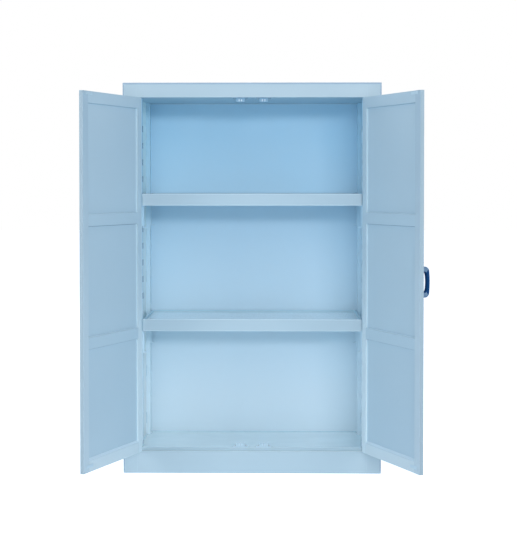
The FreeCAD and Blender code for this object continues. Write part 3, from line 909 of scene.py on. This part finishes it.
print("inside corners at", in_mm((INNER_X, INNER_BACK, FLOOR_TOP, CEILING, SILL_BACK)), "mm")
runs = [
    ((-INNER_X, INNER_BACK, FLOOR_TOP), (INNER_X, INNER_BACK, FLOOR_TOP)),
    ((-INNER_X, INNER_BACK, CEILING), (INNER_X, INNER_BACK, CEILING)),
    ((-INNER_X, SILL_BACK, FLOOR_TOP), (INNER_X, SILL_BACK, FLOOR_TOP)),
]
for way in (-1, 1):
    x = way * INNER_X
    runs.append(((x, INNER_BACK, FLOOR_TOP), (x, INNER_BACK, CEILING)))
    for height in (FLOOR_TOP, CEILING):
        runs.append(((x, SILL_BACK, height), (x, INNER_BACK, height)))
cabinet_beads = [bead(*run) for run in runs]

# %% [markdown]
# The slotted uprights carry little sideways load, so they are only tacked to the walls: a short
# bead every couple of hands, on both sides. One tack is laid and the others are its copies.

# %% Tacks of the uprights
TACK = 50 * MM
TACK_PITCH = 213 * MM


def placed(piece, place):
    """A copy of a piece at a place."""
    copy = twin(piece, piece.name)
    copy.location = place
    return settle(copy, copy.name)


tack = bead((0, 0, 0), (0, 0, TACK))
tacks = []
for way in (-1, 1):
    for node in ("upright_front_right", "upright_rear_right"):
        low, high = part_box(node)
        for y in (low[1], high[1]):
            height = low[2] + TACK
            while height + TACK < high[2]:
                tacks.append(placed(tack, (way * INNER_X, y, height)))
                height += TACK_PITCH
bpy.data.objects.remove(tack)
body = body_of["back_panel"]
laid = cabinet_beads + tacks
welds = joined(laid, "cabinet_weld_beads", body, weld_plastic)
print(len(tacks), "tacks,", len(welds.data.polygons), "faces with the long beads")

# %% [markdown]
# Each shelf is a tray. Its deck is welded to the four edges from above, where a bead closes the
# corner against spilled acid, and along the long edges from below.

# %% Beads of the shelves
for shelf in ("shelf_upper", "shelf_lower"):
    low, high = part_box(shelf + "_deck")
    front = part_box(shelf + "_front_edge")[1][1]
    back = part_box(shelf + "_back_edge")[0][1]
    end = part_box(shelf + "_end_edges")[1][0] - SHEET_THICKNESS
    corners = [(-end, front), (end, front), (end, back), (-end, back)]
    runs = [((*corners[i], high[2]), (*corners[(i + 1) % 4], high[2])) for i in range(4)]
    for y in (front, back):
        runs.append(((-end, y, low[2]), (end, y, low[2])))
    laid = [bead(*run) for run in runs]
    body = body_of[shelf + "_deck"]
    joined(laid, shelf + "_weld_beads", body, weld_plastic)
print("shelf beads laid at", in_mm((front, back, end)), "mm")

# %% [markdown]
# A door is one sheet with strips welded round and across it, so it shows three sunk panels. The
# bead runs round the foot of every strip, and it is what draws the fine line round each panel. The
# beads over a panel are darker than the upright ones, a painted shadow of the strip above, and
# those under it are paler, painted light, as they face up. The lowest is left out, since a drip
# strip takes its place.

# %% Beads of the doors
SKIN_BACK = -222 * MM
DOOR_FOOT = 94 * MM
DOOR_NEAR, DOOR_FAR = 1.5 * MM, 483 * MM
MEETING_STILE, HINGE_STILE, RAIL = 42 * MM, 32 * MM, 46 * MM
PANEL_NEAR = DOOR_NEAR + MEETING_STILE
PANEL_FAR = DOOR_FAR - HINGE_STILE
PANEL_PITCH = 482 * MM
PANELS = 3

for side, sign in SIGN.items():
    near, far = sign * PANEL_NEAR, sign * PANEL_FAR
    laid = []
    for row in range(PANELS):
        low = DOOR_FOOT + RAIL + row * PANEL_PITCH
        high = DOOR_FOOT + (row + 1) * PANEL_PITCH
        places = ((near, low), (far, low), (far, high), (near, high))
        corners = [(x, SKIN_BACK, z) for x, z in places]
        # Painted shadow on the bead over each panel, painted light on the one under it.
        above = top_weld if row == PANELS - 1 else dusty_weld
        rods = (pale_weld, weld_plastic, above, weld_plastic)
        for i in range(1 if row == 0 else 0, 4):
            laid.append(bead(corners[i], corners[(i + 1) % 4]))
            laid[-1].data.materials.append(rods[i])
    body = body_of[f"door_skin_{side}"]
    piece = joined(laid, f"door_{side}_weld_beads", body, finish=None)
    swing(piece, side)
bpy.data.objects.remove(ripple)
print("door beads:", len(piece.data.polygons), "faces on each door")

# %% [markdown]
# Acid that runs down a door would stand on the ledge of its lowest panel, so a sloping strip of
# pale sheet is welded in there instead of a bead. Its pale colour is painted light from the floor.
# It is a bar with one long edge bevelled away, which could also be a bent sheet, but a solid strip
# leaves no pocket behind it.

# %% Drip strips
STRIP_PROUD = 8 * MM
STRIP_FOOT = DOOR_FOOT + RAIL


def is_outer_edge(edge):
    """Whether an edge of a drip strip is its upper one, away from the panel."""
    reach = STRIP_PROUD * 0.9
    return middle(edge).y > SKIN_BACK + reach and middle(edge).z > STRIP_FOOT + reach


for side, sign in SIGN.items():
    x = sign * (PANEL_NEAR + PANEL_FAR) / 2
    place = (x, SKIN_BACK + STRIP_PROUD / 2, STRIP_FOOT + STRIP_PROUD / 2)
    scale = (PANEL_FAR - PANEL_NEAR, STRIP_PROUD, STRIP_PROUD)
    strip = started(bpy.ops.mesh.primitive_cube_add, "strip", scale, size=1, location=place)
    bevel(strip, is_outer_edge, STRIP_PROUD * 0.95, 1)
    body = body_of[f"door_skin_{side}"]
    joined([strip], f"drip_strip_{side}", body, drip_sheet, smooth=20)
    swing(strip, side)
print("each drip strip has", len(strip.data.polygons), "faces")

# %% [markdown]
# Every free slot of the uprights has a moulded collar, which keeps acid off the raw saw cut. Those
# of the left front upright are painted dark above the lower shelf, as the shade inside their slots,
# so they show as a row of short dashes, and all others are pale. One collar is a block whose two
# broad faces are inset and bridged into a hole. The slots that hold a shelf clip have none.

# %% Slot collars
SLOT_PITCH = 71 * MM
SLOT_WIDTH = 18 * MM
SLOT_HEIGHT = 20 * MM
LOWEST_SLOT = 250.5 * MM
CLIPPED_SLOTS = {4, 12}
FREE_SLOTS = sorted(set(range(18)) - CLIPPED_SLOTS)
COLLAR_RIM = 2.5 * MM
COLLAR_PROUD = 1.2 * MM
COLLAR_CORNER = 2 * MM


def is_corner(edge):
    """Whether an edge of a collar runs through it at an outer corner."""
    through = abs(edge.verts[0].co.x - edge.verts[1].co.x) > COLLAR_PROUD / 2
    return through and abs(middle(edge).y) > SLOT_WIDTH / 2 + COLLAR_RIM / 2


block = (COLLAR_PROUD, SLOT_WIDTH + 2 * COLLAR_RIM, SLOT_HEIGHT + 2 * COLLAR_RIM)
collar = started(bpy.ops.mesh.primitive_cube_add, "collar", block, size=1)
with editing(collar) as mesh:
    pick(mesh.faces, lambda face: abs(face.normal.x) > 0.9)
    bpy.ops.mesh.inset(thickness=COLLAR_RIM)
    bpy.ops.mesh.bridge_edge_loops()
bevel(collar, is_corner, COLLAR_CORNER, 2)
for side, sign in SIGN.items():
    for end in ("front", "rear"):
        low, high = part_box(f"upright_{end}_{side}")
        face = low[0] if side == "right" else high[0]
        x, y = face - sign * COLLAR_PROUD / 2, (low[1] + high[1]) / 2
        collars = [placed(collar, (x, y, LOWEST_SLOT + step * SLOT_PITCH)) for step in FREE_SLOTS]
        body = body_of[f"upright_{end}_{side}"]
        # The left front upright's collars carry the painted shade of their slots.
        colour = slot_collar if (end, side) == ("front", "left") else finishes["racking"]
        joined(collars, f"slot_collars_{end}_{side}", body, colour, smooth=30)
bpy.data.objects.remove(collar)
print(len(collars), "collars on each upright")

# %% [markdown]
# A pan-head screw has a domed rim and a cross recess. The dome is a bevel of the cylinder's upper
# rim. The recess could be four inset and pushed faces, but a cross doesn't follow a round cap's
# faces, so two crossed bars are cut out of it instead. One head is modelled and copied.

# %% One screw head of each kind
FIRST_TURN = 0.6
NEXT_TURN = 0.9


def screw_head(name, radius, height, dome, slot_width):
    """A screw head with its axis along +Z and its seat at z = 0."""
    disc = {"vertices": 20, "radius": radius, "depth": height, "location": (0, 0, height / 2)}
    head = started(bpy.ops.mesh.primitive_cylinder_add, name, **disc)
    bevel(head, lambda edge: all(vert.co.z > height * 0.9 for vert in edge.verts), dome, 3)
    for turn in (0, pi / 2):
        turned = {"location": (0, 0, height), "rotation": (0, 0, turn)}
        scale = (radius * 1.15, slot_width, height * 0.9)
        cut(head, started(bpy.ops.mesh.primitive_cube_add, "recess", scale, size=1, **turned))
    return head


# Radius, height, dome and width of the recess
pan_head = screw_head("pan_head", 3.4 * MM, 2.0 * MM, 0.95 * MM, 0.9 * MM)
flush_head = screw_head("flush_head", 2.6 * MM, 0.45 * MM, 0.3 * MM, 0.7 * MM)
print("a pan head has", len(pan_head.data.polygons), "faces")


def screws(head, places, way, name, body, slot="steel_fixing", door=None):
    """Copies of a screw head at several places, all facing one way, as one piece."""
    heads = []
    for index, place in enumerate(places):
        turn = Matrix.Rotation(FIRST_TURN + index * NEXT_TURN, 4, "Z")
        copy = twin(head, "screw")
        copy.matrix_world = Matrix.Translation(place) @ facing(way) @ turn
        heads.append(settle(copy, "screw"))
    piece = joined(heads, name, body, finishes[slot], smooth=35)
    if door:
        swing(piece, door)


# %% [markdown]
# Each hinge leaf has two screws, each catch has two, and each strike plate is held by two flush
# ones, because a shut door leaves little room between the plate and the catch. A fitter never
# stops every cross at the same angle, so each copy is turned a little further.

# %% Screws
HINGE_MIDDLES = (244 * MM, 840 * MM, 1436 * MM)
LEAF_FACE = -234 * MM
LEAF_HOLES_FROM_PIN = 21.75 * MM
LEAF_HOLES = (-29 * MM, 29 * MM)
CATCH_X = 49 * MM
CATCH_Y = -197.1 * MM
CATCH_HOLES = (-25 * MM, 25 * MM)
CATCH_FACES = {"lower": (111 * MM, 1), "upper": (1584 * MM, -1)}
STRIKE_FACE = -212.5 * MM
STRIKE_HEIGHTS = (118 * MM, 1577 * MM)
STRIKE_HOLES = (-17 * MM, 17 * MM)

for side, sign in SIGN.items():
    for leaf, offset in (("frame", LEAF_HOLES_FROM_PIN), ("door", -LEAF_HOLES_FROM_PIN)):
        x = sign * (HINGE_X + offset)
        places = [(x, LEAF_FACE, z + step) for z in HINGE_MIDDLES for step in LEAF_HOLES]
        body = body_of[f"hinge_leaves_{leaf}_{side}"]
        door = side if leaf == "door" else None
        screws(pan_head, places, (0, -1, 0), f"hinge_screws_{leaf}_{side}", body, door=door)
    x = sign * CATCH_X
    places = [(x + step, STRIKE_FACE, z) for z in STRIKE_HEIGHTS for step in STRIKE_HOLES]
    body = body_of[f"door_strikes_{side}"]
    screws(flush_head, places, (0, 1, 0), f"strike_screws_{side}", body, "steel_plate", side)
for row, (z, up) in CATCH_FACES.items():
    places = [(way * (CATCH_X + step), CATCH_Y, z) for way in (-1, 1) for step in CATCH_HOLES]
    screws(pan_head, places, (0, 0, up), f"catch_screws_{row}", body_of["catch_cases"])
for head in (pan_head, flush_head):
    bpy.data.objects.remove(head)

# %% [markdown]
# A hinge pin is a rod whose ends are closed into domed heads, so that it can't drop out. It is made
# as one would turn it: the rod's two ends are extruded, widened and rounded.

# %% Hinge pins
PIN_RADIUS = 3 * MM
PIN_LENGTH = 90 * MM
PIN_HEAD = 4.4 * MM
PIN_HEAD_HEIGHT = 1.6 * MM
PIN_DOME = 1.2 * MM
PIN_WIDENING = PIN_HEAD / PIN_RADIUS

rod = {"vertices": 24, "radius": PIN_RADIUS, "depth": PIN_LENGTH}
pin = started(bpy.ops.mesh.primitive_cylinder_add, "pin", **rod)
for way in (-1, 1):
    with editing(pin) as mesh:
        pick(mesh.faces, lambda face: face.normal.z * way > 0.9)
        bpy.ops.mesh.extrude_region_move(TRANSFORM_OT_translate={"value": (0, 0, 0)})
        wide, end = (PIN_WIDENING, PIN_WIDENING, 1), (0, 0, way * PIN_LENGTH / 2)
        bpy.ops.transform.resize(value=wide, center_override=end)
        rise = (0, 0, way * PIN_HEAD_HEIGHT)
        bpy.ops.mesh.extrude_region_move(TRANSFORM_OT_translate={"value": rise})
    rim = PIN_LENGTH / 2 + PIN_HEAD_HEIGHT * 0.9
    bevel(pin, lambda edge: middle(edge).z * way > rim, PIN_DOME, 4)
pins = [placed(pin, (way * HINGE_X, HINGE_Y, z)) for way in (-1, 1) for z in HINGE_MIDDLES]
bpy.data.objects.remove(pin)
body, steel = body_of["hinge_pins"], finishes["steel_fixing"]
hinge_pins = joined(pins, "hinge_pins_domed", body, steel, smooth=40)
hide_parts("hinge_pins")
print("pins:", len(hinge_pins.data.polygons), "faces")

# %% [markdown]
# The handle is a moulded bow: two legs, a grip that bulges away from the door, and a soft rim all
# round. It could be carved from a block, but where an arch meets a rounded shoulder the cuts leave
# slivers that can't be rounded. Here its outer and inner faces are swept instead, as two ribbons of
# the same number of steps: up a leg, round a shoulder, along the crest, and down again. Bridging
# the ribbons' rims closes the sides with clean quads, and these take a bevel well.

# %% The two ribbons of the handle
HANDLE_X = 37.5 * MM
HANDLE_Z = 841 * MM
HANDLE_WIDE = 20 * MM
DOOR_FACE = -230 * MM
GRIP = 12 * MM
LEG = 21 * MM
HALF_LENGTH = 60.5 * MM
REACH = 43 * MM
BOW = 5 * MM
SHOULDER = 18 * MM
SHOULDER_STEPS = 8
CREST_STEPS = 12


def spin_on(angle, steps, y, z):
    """Goes on from the selected edge, round a line along X."""
    centre = (HANDLE_X, y, HANDLE_Z + z)
    bpy.ops.mesh.spin(steps=steps, angle=angle, center=centre, axis=(-1, 0, 0))


def ribbon(name, half, reach, shoulder):
    """A face of the bow, from the foot of its upper leg to the foot of its lower leg."""
    arc = (half * half + BOW * BOW) / (2 * BOW)
    arc_y = DOOR_FACE - reach + arc
    turn_z = half - shoulder
    lean = asin(turn_z / (arc - shoulder))
    turn_y = arc_y - (arc - shoulder) * cos(lean)
    leg = DOOR_FACE - turn_y
    place = (HANDLE_X, DOOR_FACE - leg / 2, HANDLE_Z + half)
    scale = (HANDLE_WIDE, leg, 1)
    piece = started(bpy.ops.mesh.primitive_plane_add, name, scale, size=1, location=place)
    with editing(piece, "EDGE") as mesh:
        far = DOOR_FACE - leg * 0.9
        pick(mesh.edges, lambda edge: all(vert.co.y < far for vert in edge.verts))
        spin_on(pi / 2 - lean, SHOULDER_STEPS, turn_y, turn_z)
        spin_on(2 * lean, CREST_STEPS, arc_y, 0)
        spin_on(pi / 2 - lean, SHOULDER_STEPS, turn_y, -turn_z)
        bpy.ops.mesh.extrude_region_move(TRANSFORM_OT_translate={"value": (0, leg, 0)})
        ends = [in_mm(vert.co) for vert in mesh.verts if vert.select]
    print(name, "ends at", ends, "mm")
    return piece


outer = ribbon("handle_outside", HALF_LENGTH, REACH, SHOULDER)
inner = ribbon("handle_inside", HALF_LENGTH - LEG, REACH - GRIP, SHOULDER - GRIP / 2)

# %% [markdown]
# The ribbons are joined, bridged along both sides, and closed at the two feet. The rims are then
# rounded. The bevel has a paler material of its own, a painted highlight, which only its outward
# half keeps, and the flat sides have another painted highlight near the two ends.

# %% Body of the handle
RIM_ROUND = 3 * MM
RIM, HIGHLIGHT_INDEX = 1, 2
HIGHLIGHT_END = 16 * MM
HANDLE_SIDES = (HANDLE_X - HANDLE_WIDE / 2, HANDLE_X + HANDLE_WIDE / 2)


def on_side(edge, x):
    """Whether an edge lies in the flat side at x."""
    return all(abs(vert.co.x - x) < TOUCHING for vert in edge.verts)


def is_rim(edge):
    """Whether an edge is a sharp rim of a flat side, and not where it meets the door."""
    sharp = edge.calc_face_angle(0) > radians(60)
    off_door = middle(edge).y < DOOR_FACE - 0.1 * MM
    return sharp and off_door and any(on_side(edge, x) for x in HANDLE_SIDES)


def is_inward_rim(face):
    """Whether a face is of the rounded rim, on the door's side of the grip."""
    grip_y = DOOR_FACE - REACH + GRIP / 2
    return face.material_index == RIM and face.calc_center_median().y > grip_y


def is_highlit_end(face):
    """Whether a face is of a flat side, near one end of the handle."""
    from_middle = abs(face.calc_center_median().z - HANDLE_Z)
    return abs(face.normal.x) > 0.5 and from_middle > HALF_LENGTH - HIGHLIGHT_END


only(outer, inner)
bpy.ops.object.join()
handle = settle(bpy.context.active_object, "handle_bow")
for finish in (finishes["handle"], handle_rim, handle_worn):
    handle.data.materials.append(finish)
for x in HANDLE_SIDES:
    with editing(handle, "EDGE") as mesh:
        pick(mesh.edges, lambda edge: edge.is_boundary and on_side(edge, x))
        bpy.ops.mesh.bridge_edge_loops()
close_up(handle)
# The outward half of the rim and the ends of the flat sides are painted highlights.
rims = bevel(handle, is_rim, RIM_ROUND, 4, clamp_overlap=True, material=RIM)
paint_faces(handle, 0, is_inward_rim)
highlit = paint_faces(handle, HIGHLIGHT_INDEX, is_highlit_end)
print("handle:", rims, "rim edges and", highlit, "rubbed faces")

# %% [markdown]
# The bores for the two caps are drilled last, so that their rims stay crisp.

# %% Bores of the handle
BORE_RADIUS = 5 * MM
BORE_FROM_MIDDLE = 50 * MM
DRILL_LENGTH = 60 * MM
DRILL_FROM_DOOR = 40 * MM

for way in (-1, 1):
    drill = started(
        bpy.ops.mesh.primitive_cylinder_add,
        "drill",
        vertices=40,
        radius=BORE_RADIUS,
        depth=DRILL_LENGTH,
        rotation=(pi / 2, 0, 0),
        location=(HANDLE_X, DOOR_FACE - DRILL_FROM_DOOR, HANDLE_Z + way * BORE_FROM_MIDDLE),
    )
    cut(handle, drill)
joined([handle], "handle_bow", body_of["handle"], finish=None, smooth=30)
swing(handle, "right")
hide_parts("handle")
print("the handle has", len(handle.data.polygons), "faces")
